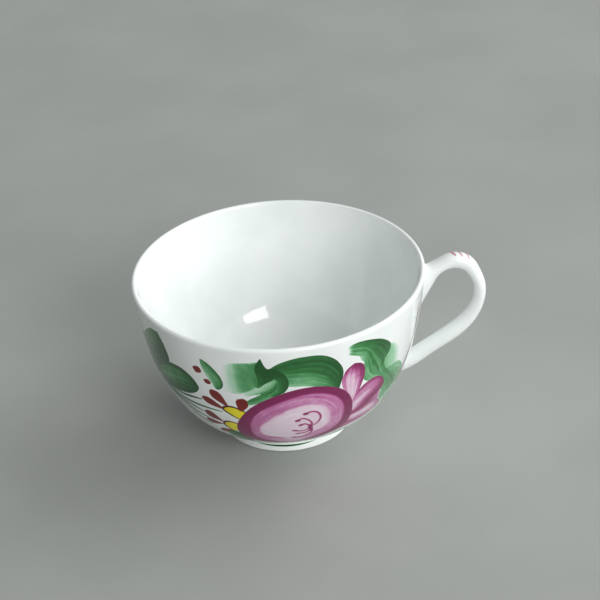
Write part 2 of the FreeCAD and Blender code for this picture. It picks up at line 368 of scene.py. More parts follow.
def handle_meets_wall(turn, lower):
    """For each angle round the handle, the length along it where it goes into the wall."""
    end = OVAL_KNOTS[-1]
    first, last = (end, end * LOWER_SEARCH_SHARE) if lower else (0.0, UPPER_SEARCH)
    inside = np.full(turn.shape, first)
    outside = np.full(turn.shape, last)
    for _ in range(HALVINGS):
        middle = (inside + outside) / 2
        out = outside_wall(on_handle(middle, turn, 0.0)[0]) > 0
        outside = np.where(out, middle, outside)
        inside = np.where(out, inside, middle)
    return (inside + outside) / 2


def round_the_handle():
    """The angles of the points round the handle."""
    return 2 * np.pi * np.arange(HANDLE_AROUND) / HANDLE_AROUND


def make_handle():
    """The handle between the two places where it goes a little into the wall."""
    turn = round_the_handle()
    start = handle_meets_wall(turn, lower=False) - INTO_WALL
    end = handle_meets_wall(turn, lower=True) + INTO_WALL
    count = math.ceil(np.max(end - start) / HANDLE_STEP)
    share = np.linspace(0, 1, count)[:, None]
    rings, _ = on_handle(start + (end - start) * share, turn, 0.0)
    return tube("porcelain_handle", rings)


def make_slip_fillet(name, lower):
    """The slip seam smoothed into a hollow curve between the handle and the wall."""
    turn = round_the_handle()
    meets = handle_meets_wall(turn, lower)
    away = -1.0 if lower else 1.0
    on_stem, _ = on_handle(meets + away * SLIP_FILLET, turn, SLIP_ON_HANDLE)
    inside_stem, _ = on_handle(meets + away * SLIP_FILLET, turn, SLIP_DEPTH)
    corner, _ = on_handle(meets, turn, 0.0)
    angle, length = wall_place(corner)
    mean_reach = np.hypot(corner[:, 0], corner[:, 1])
    flat = np.stack([np.radians(angle) * mean_reach, length], -1)
    along = np.roll(flat, -1, 0) - np.roll(flat, 1, 0)
    outwards = np.stack([along[:, 1], -along[:, 0]], -1)
    outwards /= np.linalg.norm(outwards, axis=1, keepdims=True)
    if np.sum(outwards * (flat - flat.mean(0))) < 0:
        outwards = -outwards
    foot = flat + outwards * SLIP_FILLET
    foot_angle = np.degrees(foot[:, 0] / mean_reach)
    on_body, inside_body = (on_wall(foot_angle, foot[:, 1], np.full(len(foot), lift))[0]
                            for lift in (SLIP_ON_WALL, SLIP_DEPTH))
    inner_corner, _ = on_handle(meets - away * SLIP_CORNER_DEPTH, turn, SLIP_DEPTH)
    rings = []
    for share in np.linspace(0, 1, SLIP_CURVE_POINTS):
        rings.append((1 - share) ** 2 * on_stem + 2 * share * (1 - share) * corner
                     + share ** 2 * on_body)
    rings += [inside_body, inner_corner, inside_stem]
    return tube(name, np.array(rings), closed=True)


# ---- Paint
# Thin closed films of enamel that lie on the wall. Each has a load of pigment and brush
# coordinates for its material to draw streaks with.
FILM_BOTTOM = -0.03
FILM_THICKNESS = 0.016
EDGE_WIDTH = 0.12
ROW_STEP = 0.6
RIBBON_ROW_STEP = 0.35
LEAST_ROWS = 8
POINTS_ACROSS = 18
LEAST_HALF_WIDTH = 0.02
DISC_RINGS = 33
DISC_BRUSH_TURN = 9.0
# Each stroke's brush coordinates are moved on, so that no two strokes share their streaks.
STROKE_SHIFT = np.array([17.0, 5.0, 0.0])
# A dry end's length changes across the stroke: its middle and its spread as shares of the
# longest, and the width of its bumps.
DRY_MIDDLE, DRY_SPREAD, DRY_BUMP = 0.55, 0.45, 0.8

random = np.random.default_rng(7)


def ease(values):
    """0 to 1, with level ends."""
    values = np.clip(values, 0, 1)
    return values * values * (3 - 2 * values)


def wobble(places, size, amount):
    """A smooth random line, read at places, with bumps of a given size."""
    span = int(np.max(places) / size) + 3
    heights = random.uniform(-amount, amount, span)
    spot = np.asarray(places) / size
    low = np.floor(spot).astype(int)
    return heights[low] + (heights[low + 1] - heights[low]) * ease(spot - low)


class Paint:
    """Enamel of one kind, gathered into one mesh."""

    def __init__(self, name, place=on_painted_wall):
        self.name = name
        self.place = place
        self.points, self.normals, self.faces = [], [], []
        self.loads, self.brush = [], []
        self.strokes = 0

    def add_points(self, first, second, lift, load, brush):
        """Adds points and returns the number of the first one."""
        number = sum(len(each) for each in self.points)
        points, normals = self.place(first.ravel(), second.ravel(), np.ravel(lift))
        self.points.append(points)
        self.normals.append(normals)
        self.loads.append(np.ravel(load))
        self.brush.append(brush.reshape(-1, 3))
        return number

    def add_film(self, first, second, height, load, brush):
        """Adds a film's top and its bottom, and returns the number of each one's first point."""
        top = self.add_points(first, second, height, load, brush)
        low = self.add_points(first, second, np.full(first.shape, FILM_BOTTOM), load, brush)
        self.normals[-1] = -self.normals[-1]
        return top, low

    def patch(self, first, second, load, brush, lift, edge):
        """A four-sided film. edge is each point's distance from the film's nearest edge."""
        self.strokes += 1
        brush = brush + STROKE_SHIFT * self.strokes
        height = lift - FILM_THICKNESS * (1 - ease(edge / EDGE_WIDTH))
        top, low = self.add_film(first, second, height, load, brush)
        number = np.arange(first.size).reshape(first.shape)
        quads = np.stack([number[:-1, :-1], number[1:, :-1], number[1:, 1:], number[:-1, 1:]],
                         -1).reshape(-1, 4)
        rim = np.concatenate([number[:, 0], number[-1, 1:], number[-2::-1, -1],
                              number[0, -2:0:-1]])
        area = np.sum(np.diff(first, axis=0)[:, :-1] * np.diff(second, axis=1)[:-1]
                      - np.diff(first, axis=1)[:-1] * np.diff(second, axis=0)[:, :-1])
        self.close(quads, rim, top, low, area > 0)

    def close(self, quads, rim, top, low, outwards):
        """Joins a film's top and bottom round its rim."""
        ahead = np.roll(rim, -1)
        sides = np.stack([rim + top, rim + low, ahead + low, ahead + top], -1)
        faces = [*(quads + top), *(quads[:, ::-1] + low), *sides]
        for face in faces:
            self.faces.append(tuple(face) if outwards else tuple(face[::-1]))

    def disc(self, loop, centre, load, lift):
        """A round film inside a loop, with a load worked out from its places.

        load takes the distance from the edge, the share of the way out, and the place along
        the rim, where the whole rim is 2 pi.
        """
        self.strokes += 1
        count = len(loop)
        shares = np.sin(np.linspace(0, math.pi / 2, DISC_RINGS + 1))[1:, None]
        first = centre[0] + shares * (loop[:, 0] - centre[0])
        second = centre[1] + shares * (loop[:, 1] - centre[1])
        reach = np.hypot((loop[:, 0] - centre[0]) * DEGREE_ON_WALL, loop[:, 1] - centre[1])
        edge = (1 - shares) * reach
        turn = 2 * np.pi * np.arange(count) / count
        brush = np.stack(np.broadcast_arrays(DISC_BRUSH_TURN * np.cos(turn),
                                             DISC_BRUSH_TURN * np.sin(turn),
                                             shares * np.mean(reach)), -1)
        loads = load(edge, shares, turn)
        height = lift - FILM_THICKNESS * (1 - ease(edge / EDGE_WIDTH))
        top, low = self.add_film(first, second, height, loads, brush)
        top_middle, low_middle = self.add_film(
            np.array([centre[0]]), np.array([centre[1]]), lift, np.mean(loads[0]),
            brush[0].mean(axis=0))
        number = np.arange(first.size).reshape(first.shape)
        self.close(loop_quads(number), number[-1, ::-1], top, low, True)
        self.faces += fan(top_middle, number[0, ::-1] + top) + fan(low_middle, number[0] + low)

    def blade(self, side_a, side_b, loads, lift, dry=(0.0, 0.0)):
        """A brush mark between two edges that run the same way.

        loads has rows from the start to the end, each from side a to side b. dry is how
        far the brush breaks up at the start and at the end.
        """
        length = max(knots_by_length(np.array(side, float))[-1] for side in (side_a, side_b))
        count = max(LEAST_ROWS, math.ceil(length / ROW_STEP))
        self.between(smooth_line(side_a, count), smooth_line(side_b, count), loads, lift, dry)

    def ribbon(self, spine, lift, dry=(0.0, 0.0), profile=(0.85, 1.0, 0.85)):
        """A thin mark along a line of (angle, length, half width, load).

        profile is the share of the load from one side of the mark to the other.
        """
        spine = np.array(spine, float)
        count = max(LEAST_ROWS, math.ceil(knots_by_length(spine)[-1] / RIBBON_ROW_STEP))
        path = smooth_line(spine, count)
        tangent = np.gradient(path[:, :2] * (DEGREE_ON_WALL, 1.0), axis=0)
        tangent /= np.linalg.norm(tangent, axis=1, keepdims=True)
        across = np.stack([-tangent[:, 1] / DEGREE_ON_WALL, tangent[:, 0]], -1)
        half = np.clip(path[:, 2:3], LEAST_HALF_WIDTH, None)
        loads = np.clip(path[:, 3:4], 0, 1) * np.array([profile])
        self.between(path[:, :2] + across * half, path[:, :2] - across * half, loads, lift, dry)

    def between(self, a, b, loads, lift, dry):
        """The film between two edges of equally many points. The rest is as for blade."""
        share = 0.5 - 0.5 * np.cos(np.linspace(0, math.pi, POINTS_ACROSS))
        first = a[:, :1] + (b[:, :1] - a[:, :1]) * share
        second = a[:, 1:2] + (b[:, 1:2] - a[:, 1:2]) * share
        loads = np.array(loads, float)
        spots = np.linspace(0, 1, loads.shape[1])
        columns = np.array([np.interp(share, spots, row) for row in loads]).T
        along, stops = np.linspace(0, 1, len(a)), np.linspace(0, 1, len(loads))
        load = np.stack([np.interp(along, stops, column) for column in columns], -1)
        span = np.hypot((a[:, 0] - b[:, 0]) * DEGREE_ON_WALL, a[:, 1] - b[:, 1])
        travel = knots_by_length((a + b)[:, :2] / 2)
        left = travel[-1] - travel
        across = share * span.max()
        for reach, distance in zip(dry, (travel, left)):
            if reach > 0:
                ragged = reach * (DRY_MIDDLE + wobble(across, DRY_BUMP, DRY_SPREAD))
                load = load * ease(distance[:, None] / ragged)
        edge = np.minimum(np.minimum(share, 1 - share)[None, :] * span[:, None],
                          np.minimum(travel, left)[:, None])
        brush = np.stack(np.broadcast_arrays(travel[:, None], 0.0, across[None, :]), -1)
        self.patch(first, second, load, brush, lift, edge)

    def finish(self, material):
        """Makes the mesh object."""
        made = make_object(self.name, np.concatenate(self.points), self.faces,
                           np.concatenate(self.normals))
        load = made.data.attributes.new("load", "FLOAT", "POINT")
        load.data.foreach_set("value", np.concatenate(self.loads).astype(np.float32))
        brush = made.data.attributes.new("brush", "FLOAT_VECTOR", "POINT")
        brush.data.foreach_set("vector", np.concatenate(self.brush).astype(np.float32).ravel())
        made.data.materials.append(material)
        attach(made, "root")


# ---- Materials
def shade(red, green, blue):
    """A colour as it looks on a screen, 0 to 255, as the linear colour that nodes take."""
    scaled = [value / 255 for value in (red, green, blue)]
    linear = [v / 12.92 if v <= 0.04045 else ((v + 0.055) / 1.055) ** 2.4 for v in scaled]
    return (*linear, 1.0)


def add(tree, kind, inputs=None, **settings):
    """A node with its settings and inputs. An input is a value or another node's output."""
    node = tree.nodes.new(kind)
    for name, value in settings.items():
        setattr(node, name, value)
    for name, value in (inputs or {}).items():
        if isinstance(value, bpy.types.NodeSocket):
            tree.links.new(value, node.inputs[name])
        else:
            node.inputs[name].default_value = value
    return node


def maths(tree, operation, *values, clamp=False):
    """The output of a Math node."""
    node = add(tree, "ShaderNodeMath", dict(enumerate(values)), operation=operation,
               use_clamp=clamp)
    return node.outputs[0]


def ramp(tree, factor, stops, interpolation="EASE"):
    """The output of a colour ramp with (position, colour) stops."""
    node = add(tree, "ShaderNodeValToRGB", {"Fac": factor})
    node.color_ramp.interpolation = interpolation
    elements = node.color_ramp.elements
    while len(elements) < len(stops):
        elements.new(0.5)
    for element, (position, colour) in zip(elements, stops):
        element.position = position
        element.color = colour
    return node.outputs["Color"]


def noise(tree, vector, scale, detail=2.0, roughness=0.5):
    """The output of a noise texture."""
    inputs = {"Vector": vector, "Scale": scale, "Detail": detail, "Roughness": roughness}
    return add(tree, "ShaderNodeTexNoise", inputs).outputs["Fac"]


def spread(tree, value, low, high, to_low, to_high):
    """A value carried from one range to another, kept inside the second."""
    inputs = {"Value": value, "From Min": low, "From Max": high, "To Min": to_low,
              "To Max": to_high}
    return add(tree, "ShaderNodeMapRange", inputs).outputs["Result"]


def mix(tree, factor, a, b, blend_type="MIX"):
    """The output of a colour mix."""
    return add(tree, "ShaderNodeMix", {0: factor, 6: a, 7: b}, data_type="RGBA",
               blend_type=blend_type).outputs[2]


def bumped(tree, height, strength, distance_m):
    """Normals for a relief."""
    return add(tree, "ShaderNodeBump", {"Height": height, "Strength": strength,
                                        "Distance": distance_m}).outputs["Normal"]


def surface(tree, inputs):
    """A Principled shader as the material's surface."""
    shader = add(tree, "ShaderNodeBsdfPrincipled", inputs)
    add(tree, "ShaderNodeOutputMaterial", {"Surface": shader.outputs["BSDF"]})


def new_material(name):
    """An empty node material and its object coordinates."""
    material = bpy.data.materials.new(name)
    material.use_nodes = True
    material.node_tree.nodes.clear()
    place = add(material.node_tree, "ShaderNodeTexCoord").outputs["Object"]
    return material, material.node_tree, place


PORCELAIN_LIGHT = shade(240, 243, 242)
PORCELAIN_DEEP = shade(234, 238, 237)
SPECK = shade(150, 146, 138)
CELLS_WITHOUT_SPECK = 0.985
GLAZE_IOR = 1.5
GLAZE_RELIEF_M = 0.00006


def porcelain_colour(tree, place):
    """White porcelain under glaze: faint clouds and a few tiny specks."""
    clouds = noise(tree, place, 55.0, 3.0)
    body = ramp(tree, clouds, [(0.35, PORCELAIN_DEEP), (0.65, PORCELAIN_LIGHT)])
    cells = add(tree, "ShaderNodeTexVoronoi", {"Vector": place, "Scale": 260.0})
    split = add(tree, "ShaderNodeSeparateColor", {"Color": cells.outputs["Color"]})
    chosen = maths(tree, "GREATER_THAN", split.outputs["Red"], CELLS_WITHOUT_SPECK)
    close = spread(tree, cells.outputs["Distance"], 0.025, 0.05, 0.6, 0.0)
    return mix(tree, maths(tree, "MULTIPLY", chosen, close), body, SPECK)


def glaze(tree, place, colour, roughness, height=None):
    """The shader of a clear gloss glaze over a colour, with the glaze's gentle waves."""
    waves = noise(tree, place, 60.0, 1.0)
    peel = noise(tree, place, 900.0, 2.0)
    relief = maths(tree, "ADD", waves, maths(tree, "MULTIPLY", peel, 0.03))
    if height is not None:
        relief = maths(tree, "ADD", relief, height)
    normal = bumped(tree, relief, 0.3, GLAZE_RELIEF_M)
    surface(tree, {
        "Base Color": colour, "Roughness": roughness, "IOR": GLAZE_IOR, "Specular IOR Level": 0.1,
        "Coat Weight": 1.0, "Coat Roughness": 0.03, "Coat IOR": GLAZE_IOR, "Normal": normal,
        "Coat Normal": normal})


def porcelain_material(name):
    """Glazed white porcelain."""
    material, tree, place = new_material(name)
    roughness = spread(tree, noise(tree, place, 40.0), 0.3, 0.7, 0.2, 0.3)
    glaze(tree, place, porcelain_colour(tree, place), roughness)
    return material


def foot_material():
    """Glazed like the wall, with a dry, rubbed standing face."""
    material, tree, place = new_material("foot_glaze_and_dry_edge")
    height = add(tree, "ShaderNodeSeparateXYZ", {"Vector": place}).outputs["Z"]
    ragged = maths(tree, "MULTIPLY", noise(tree, place, 700.0, 3.0), 0.00025)
    dry = spread(tree, maths(tree, "SUBTRACT", height, ragged), 0.0001, 0.0002, 1.0, 0.0)
    grain = noise(tree, place, 4200.0, 4.0, 0.7)
    biscuit = ramp(tree, grain, [(0.3, shade(196, 190, 178)), (0.7, shade(226, 222, 212))])
    scuffs = ramp(tree, noise(tree, place, 520.0, 5.0, 0.75),
                  [(0.5, shade(255, 255, 255)), (0.68, shade(168, 163, 155))])
    worn = mix(tree, 1.0, biscuit, scuffs, "MULTIPLY")
    relief = maths(tree, "ADD", noise(tree, place, 95.0), maths(tree, "MULTIPLY", grain, dry))
    surface(tree, {
        "Base Color": mix(tree, dry, porcelain_colour(tree, place), worn),
        "Roughness": spread(tree, dry, 0.0, 1.0, 0.22, 0.9), "IOR": GLAZE_IOR,
        "Coat Weight": spread(tree, dry, 0.0, 1.0, 1.0, 0.0), "Specular IOR Level": 0.1,
        "Coat Roughness": 0.035, "Normal": bumped(tree, relief, 0.4, GLAZE_RELIEF_M)})
    return material


BRUSH_ROUGHNESS = 0.6
COARSE_SHARE, FINE_SHARE = 0.62, 0.38
POOL_SCALE = 380.0
NOISE_GAIN = 4
# Between its marks a stroke keeps at least this share of its load.
LEAST_SHARE = 0.45
# Half-loaded enamel has the most room to vary, and a thin or a full one the least.
ROOM_GAIN, ROOM_END = 1.3, 1.15
ENAMEL_HEIGHT = 0.25


def enamel_material(name, stops, streak=0.5, fine=2.4, coarse=0.7, along=0.06, pool=0.15):
    """Brushed enamel. stops are (load, red, green, blue) from the palest wash to the full load.

    streak is how strongly the bristles show, fine and coarse how many marks there are to
    a millimetre across the stroke, along how fast they change along it, and pool how
    strongly the enamel gathers into pools.
    """
    material, tree, place = new_material(name)
    load = add(tree, "ShaderNodeAttribute", attribute_name="load").outputs["Fac"]
    brush = add(tree, "ShaderNodeAttribute", attribute_name="brush").outputs["Vector"]
    marks = []
    for across in (coarse, fine):
        stretched = add(tree, "ShaderNodeVectorMath",
                        {0: brush, 1: (along * across, along * across, across)},
                        operation="MULTIPLY").outputs["Vector"]
        marks.append(noise(tree, stretched, 1.0, 2.0, BRUSH_ROUGHNESS))
    bristles = maths(tree, "ADD", maths(tree, "MULTIPLY", marks[0], COARSE_SHARE),
                     maths(tree, "MULTIPLY", marks[1], FINE_SHARE))
    centred = maths(tree, "SUBTRACT", bristles, 0.5)
    pooled = maths(tree, "SUBTRACT", noise(tree, place, POOL_SCALE, 3.0), 0.5)
    unsettled = maths(tree, "ADD", maths(tree, "MULTIPLY", centred, streak * NOISE_GAIN),
                      maths(tree, "MULTIPLY", pooled, pool * NOISE_GAIN))
    room = maths(tree, "MULTIPLY", maths(tree, "MULTIPLY", load, ROOM_GAIN),
                 maths(tree, "SUBTRACT", ROOM_END, load))
    laid = maths(tree, "MAXIMUM", maths(tree, "MULTIPLY", load, LEAST_SHARE),
                 maths(tree, "ADD", load, maths(tree, "MULTIPLY", unsettled, room)), clamp=True)
    colour = ramp(tree, laid, [(part, shade(*colour)) for part, *colour in stops], "LINEAR")
    cover = spread(tree, laid, 0.015, stops[0][0] + 0.02, 0.0, 1.0)
    painted = mix(tree, cover, porcelain_colour(tree, place), colour)
    roughness = spread(tree, laid, 0.0, 1.0, 0.22, 0.34)
    glaze(tree, place, painted, roughness, maths(tree, "MULTIPLY", laid, ENAMEL_HEIGHT))
    return material


LEAF_GREENS = [(0.1, 190, 221, 200), (0.3, 132, 188, 144), (0.5, 84, 152, 98), (0.72, 45, 118, 58)]
GREEN = enamel_material("enamel_leaf_green", LEAF_GREENS + [(1.0, 16, 76, 28)],
                        streak=0.75, fine=2.3, coarse=0.8)
GREEN_WASH = enamel_material("enamel_green_wash", LEAF_GREENS + [(1.0, 18, 80, 30)],
                             streak=0.3, fine=1.1, coarse=0.4)
ROSE = enamel_material("enamel_rose", [
    (0.05, 234, 218, 229), (0.2, 222, 188, 209), (0.42, 193, 118, 167), (0.7, 155, 50, 112),
    (1.0, 122, 20, 80)], streak=0.55, fine=2.3, coarse=0.85)
CURL = enamel_material("enamel_curl", [
    (0.1, 216, 164, 194), (0.5, 174, 72, 128), (1.0, 130, 28, 86)], streak=0.3)
PALE_ROSE = enamel_material("enamel_pale_rose", [
    (0.1, 232, 208, 213), (0.5, 186, 120, 136), (1.0, 140, 50, 76)], streak=0.2)
# For the line beside the handle, which is partly painted shade along the wall's edge.
RED_LINE_AND_EDGE_SHADE = enamel_material("enamel_red_line_and_edge_shade", [
    (0.1, 216, 180, 184), (0.5, 158, 74, 84), (1.0, 92, 26, 36)], streak=0.2)
RED = enamel_material("enamel_dark_red", [
    (0.1, 206, 130, 120), (0.45, 156, 36, 34), (1.0, 112, 14, 14)], streak=0.3)
YELLOW = enamel_material("enamel_yellow", [
    (0.1, 240, 234, 130), (0.5, 244, 230, 24), (1.0, 226, 208, 10)], streak=0.35)
BROWN = enamel_material("enamel_outline", [
    (0.1, 190, 120, 96), (0.5, 120, 36, 24), (1.0, 74, 16, 12)], streak=0.2)

# ---- The porcelain
PORCELAIN = porcelain_material("glazed_porcelain")
SLIP = porcelain_material("glazed_slip_seam")
FOOT = foot_material()


def dress(piece, node, material):
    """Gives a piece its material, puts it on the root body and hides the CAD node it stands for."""
    point_outwards(piece)
    piece.data.materials.append(material)
    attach(piece, "root")
    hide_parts(node)


dress(revolve("porcelain_bowl", bowl_outline(), closed=False), "bowl", PORCELAIN)
dress(revolve("porcelain_foot_ring", foot_ring_outline(), closed=True), "foot_ring", FOOT)
dress(make_handle(), "handle", PORCELAIN)
dress(make_slip_fillet("slip_fillet_upper", lower=False), "handle_joint_upper", SLIP)
dress(make_slip_fillet("slip_fillet_lower", lower=True), "handle_joint_lower", SLIP)

# ---- The painting
# In wall coordinates: an edge is a list of (angle, length), and a ribbon's line one of
# (angle, length, half width, load). Lifts keep later strokes over earlier ones.
UNDER, MIDDLE, OVER, TOP, LAST = 0.012, 0.020, 0.028, 0.040, 0.052


def left_leaves(leaves):
    """Two leaves on the left, where the wall turns away."""
    leaves.blade(
        [(-146.5, 54.1), (-145.3, 52.4), (-144.4, 50), (-143.4, 47.4), (-142.8, 45), (-143.8, 42.8),
         (-147, 40.6), (-152, 38.4), (-157, 35.5)],
        [(-151.5, 53.5), (-156, 51.2), (-161, 48.2), (-167, 45.8), (-172.5, 43), (-174, 40), (-173, 36.8),
         (-168, 33.4), (-160, 30.5)],
        [(1, .95, .9, .85, .7), (1, .95, .75, .7, .5), (1, 1, .8, .7, .4), (1, 1, .85, .75, .4),
         (1, 1, .9, .85, .5), (1, 1, .95, .9, .6)], UNDER, dry=(0.8, 1))
    leaves.ribbon(
        [(-147, 53.4, .5, .9), (-145.6, 50.5, 1.1, 1), (-144.6, 47.5, 1.3, 1), (-144.4, 44.6, 1.2, 1),
         (-147.5, 41.6, .7, .9)], UNDER + 0.004, profile=(1, 1, .9))
    leaves.blade(
        [(-156, 37), (-150, 41), (-145, 43.4), (-140, 44.2), (-135.5, 44), (-132, 42.6), (-129.8, 40.8),
         (-128.7, 39)],
        [(-158, 34.4), (-151, 32.3), (-145, 32.2), (-139, 33.1), (-134, 34.4), (-131, 35.8), (-129.3, 37.2),
         (-128.5, 38.6)],
        [(.85, .8, .9, 1, 1), (1, .7, .55, .9, 1), (1, .55, .5, .85, 1), (1, .6, .55, .9, 1),
         (1, .9, .8, 1, 1), (1, 1, 1, 1, 1)], MIDDLE)


def slender_leaf(leaves):
    """The slender leaf above the buds."""
    leaves.blade(
        [(-125, 51), (-125, 48.8), (-124.2, 46.2), (-122.8, 43.8), (-121.2, 41.6), (-120.4, 40.2)],
        [(-124.3, 51), (-121.8, 50), (-119.4, 48.2), (-117.4, 46), (-116.2, 43.6), (-116.8, 41.4),
         (-119.2, 39.8)],
        [(.5, .7, .75), (.25, .5, .8), (.18, .42, .8), (.16, .4, .85), (.18, .55, .9), (.35, .75, .9)],
        UNDER)


def arched_leaf(leaves):
    """The big arched leaf over the rose."""
    leaves.blade(
        [(-98, 49.6), (-95, 51.6), (-91, 53), (-86.5, 53.8), (-82, 53.9), (-78, 53.5), (-74.8, 52.4),
         (-72, 50.6), (-70, 48.4), (-68.7, 46), (-68.5, 43.6), (-69.2, 41), (-70, 38.6)],
        [(-95, 44.6), (-91.5, 43.3), (-88, 42.8), (-84, 42.5), (-80.5, 41.8), (-77, 41), (-74, 40),
         (-72, 38.6)],
        [(1, .85, .65, .45), (.95, .8, .58, .25), (.95, .85, .64, .2), (.95, .85, .56, .22),
         (1, .9, .6, .3), (1, .95, .68, .4), (1, 1, .78, .62), (1, .95, .85, .75)], MIDDLE)


def dark_curl(leaves):
    """A short tail, a stroke down from the curl's tip, and one over to the right and down."""
    leaves.ribbon(
        [(-93, 41.6, 1.6, .95), (-98, 39.7, 1.5, .8), (-103, 37.8, 1.3, .75), (-106.5, 36.3, 1.0, .7),
         (-109, 35.3, .5, .4)], MIDDLE + 0.005, dry=(0, 1.2), profile=(.55, .85, 1))
    leaves.blade(
        [(-100.5, 54.1), (-101.9, 52.4), (-102.8, 50.4), (-102.6, 48.2), (-102.3, 46), (-102.6, 44),
         (-103.4, 42.4)],
        [(-100.2, 54.1), (-99.5, 52.4), (-97.6, 50), (-95, 48.4), (-95.6, 46.4), (-98.6, 44.8),
         (-102, 42.4)],
        [(1, 1, 1), (1, 1, 1), (.95, 1, 1), (.85, 1, 1), (.7, .95, 1), (.4, .7, .6)], OVER, dry=(0, 1.5))
    leaves.blade(
        [(-101, 48.4), (-98.2, 50.3), (-95.8, 50.3), (-93.4, 49.4), (-91.4, 47.8), (-90.4, 45.8),
         (-90.3, 43.6), (-91.2, 41.8), (-93.4, 40.3), (-96.6, 38.8)],
        [(-101, 46.6), (-98.6, 46.8), (-96.6, 46.8), (-95.3, 46.2), (-94.6, 45.2), (-94.5, 44), (-95, 42.8),
         (-96, 41.6), (-97.6, 40.6), (-99.4, 39.8)],
        [(1, 1, 1), (1, 1, 1), (1, 1, .85), (1, .95, .6), (1, .95, .5), (1, .85, .5), (.95, .8, .55)],
        OVER + 0.003, dry=(0.6, 0.8))


def hooked_leaf(leaves):
    """The leaf on the right: one stroke across and down, over two pale ones."""
    leaves.blade(
        [(-47, 38.6), (-43, 38), (-38.5, 37.6), (-34, 35.2), (-30, 31.4), (-26.5, 27.2)],
        [(-47, 29), (-43, 26.3), (-38.5, 24.2), (-34, 23.3), (-30, 24), (-26.7, 26)],
        [(.4, .6, .6, .5), (.35, .6, .6, .5), (.3, .5, .55, .45), (.3, .45, .5, .4), (.35, .45, .5, .4),
         (.5, .5, .5, .5)], UNDER + 0.003, dry=(2, 1))
    leaves.blade(
        [(-47, 29), (-42, 27.5), (-37, 26), (-32, 25), (-29, 23)],
        [(-46, 26), (-43, 22), (-38, 19.3), (-33, 19), (-30, 20)],
        [(.35, .35, .3), (.42, .4, .3), (.42, .4, .3), (.35, .35, .25), (.3, .3, .2)], UNDER, dry=(1, 2))
    leaves.blade(
        [(-66.8, 53.8), (-63.5, 54.2), (-59, 53.8), (-54.5, 52.7), (-50.5, 51.2), (-47.4, 49.3),
         (-45, 46.9), (-45.6, 44.6), (-47.5, 43), (-48, 41), (-46.6, 38.8), (-43.6, 36.2), (-39.5, 33.2),
         (-35, 29.6), (-31, 25.5)],
        [(-66.6, 50.7), (-63, 49.3), (-60.4, 48.1), (-59.2, 46.2), (-59.4, 43.6), (-59.4, 41),
         (-58.6, 38.7), (-56, 37), (-51.5, 36), (-47.8, 33), (-45.3, 28.6), (-43, 24), (-41, 20)],
        [(.5, .7, .55, .35), (.85, .65, .5, .3), (.95, .75, .55, .4), (.95, .85, .6, .5),
         (.95, .85, .6, .5), (.85, .75, .55, .4), (.85, .5, .58, .4), (.75, .52, .6, .45),
         (.68, .58, .6, .5), (.62, .66, .6, .55), (.55, .6, .5, .5), (.35, .35, .3, .3)],
        MIDDLE, dry=(2.6, 6.0))


def stem_foot(leaves):
    """A dark touch where the stems meet at the foot."""
    leaves.blade(
        [(-124, 17.4), (-120.5, 19.8), (-116.5, 19.6), (-111, 16)],
        [(-123, 15.2), (-119, 13), (-115, 11.8), (-110, 11.5)],
        [(.5, .6, .4), (.95, .8, .4), (1, .85, .45), (.9, .8, .5)], UNDER)


def paint_leaves():
    """The big green leaves around the rose."""
    leaves = Paint("painted_leaves")
    for paint_part in (left_leaves, slender_leaf, arched_leaf, dark_curl, hooked_leaf, stem_foot):
        paint_part(leaves)
    leaves.finish(GREEN)


def paint_washes():
    """Soft pale green between and beside the leaves."""
    washes = Paint("painted_washes")
    # The folded block left of the curl, and the green under the curl.
    washes.blade(
        [(-117, 51.4), (-117, 47), (-117, 43), (-117, 39)],
        [(-99.5, 53.2), (-99, 48.5), (-98, 44), (-98, 39.8)],
        [(0, .04, .14, .38, .44, .52, .72, .82), (.01, .06, .2, .48, .54, .58, .72, .88),
         (.02, .08, .22, .5, .55, .58, .68, .85), (.02, .06, .16, .3, .36, .44, .5, .6)],
        UNDER, dry=(1.8, 1.6))
    washes.blade(
        [(-104.5, 49), (-104, 44), (-102, 40.5), (-99, 38)],
        [(-90.6, 48), (-90.4, 44.5), (-91.2, 42), (-93.5, 39.5)],
        [(.6, .8, .9), (.6, .7, .9), (.55, .65, .9), (.6, .7, .9)], UNDER + 0.004)
    # A pale tail that runs out to the left from under the curl.
    washes.ribbon(
        [(-94.8, 45.6, .9, .62), (-97, 44.6, 1.5, .42), (-100, 43, 1.6, .3), (-104, 41.1, 1.1, .24),
         (-109, 39.2, .8, .12)], MIDDLE + 0.003, dry=(0, 2.5), profile=(1.5, .8, .8, .95))
    # Beside the hooked leaf.
    washes.blade(
        [(-52, 48.3), (-51, 44), (-50, 40), (-49, 36)],
        [(-43.5, 47.2), (-39.5, 44.6), (-37.5, 40.5), (-37, 36.5)],
        [(.6, .35, .3, .02), (.55, .32, .25, 0), (.5, .3, .22, 0), (.5, .3, .2, .05)], UNDER, dry=(0.5, 0))
    washes.blade(
        [(-62, 49), (-59.5, 48.8), (-55, 48)],
        [(-60.6, 46.8), (-59, 45.6), (-55, 44)],
        [(.12, .2, .25), (.3, .4, .5), (.6, .7, .7)], UNDER)
    washes.finish(GREEN_WASH)


SPRIGS = [
    [(-141, 31.9), (-135, 32.7), (-128.6, 33.5)],
    [(-141, 29.9), (-131, 29.9), (-120, 30.1)],
    [(-141, 28.4), (-136, 27.7), (-130.8, 27)],
    [(-141, 26.6), (-136, 25), (-129.5, 24)],
    [(-140, 24.2), (-135, 21.6), (-130, 19.8)],
]


def paint_sprigs():
    """Thin green lines that fan out on the left."""
    sprigs = Paint("painted_sprigs")
    for points in SPRIGS:
        spine = [(-159, 32.6 + (points[0][1] - 29) * 0.1, .4, .9)]
        for point, half_width, load in zip(points, (.52, .5, .22), (.9, .95, .7)):
            spine.append((*point, half_width, load))
        sprigs.ribbon(spine, UNDER)
    sprigs.finish(GREEN)


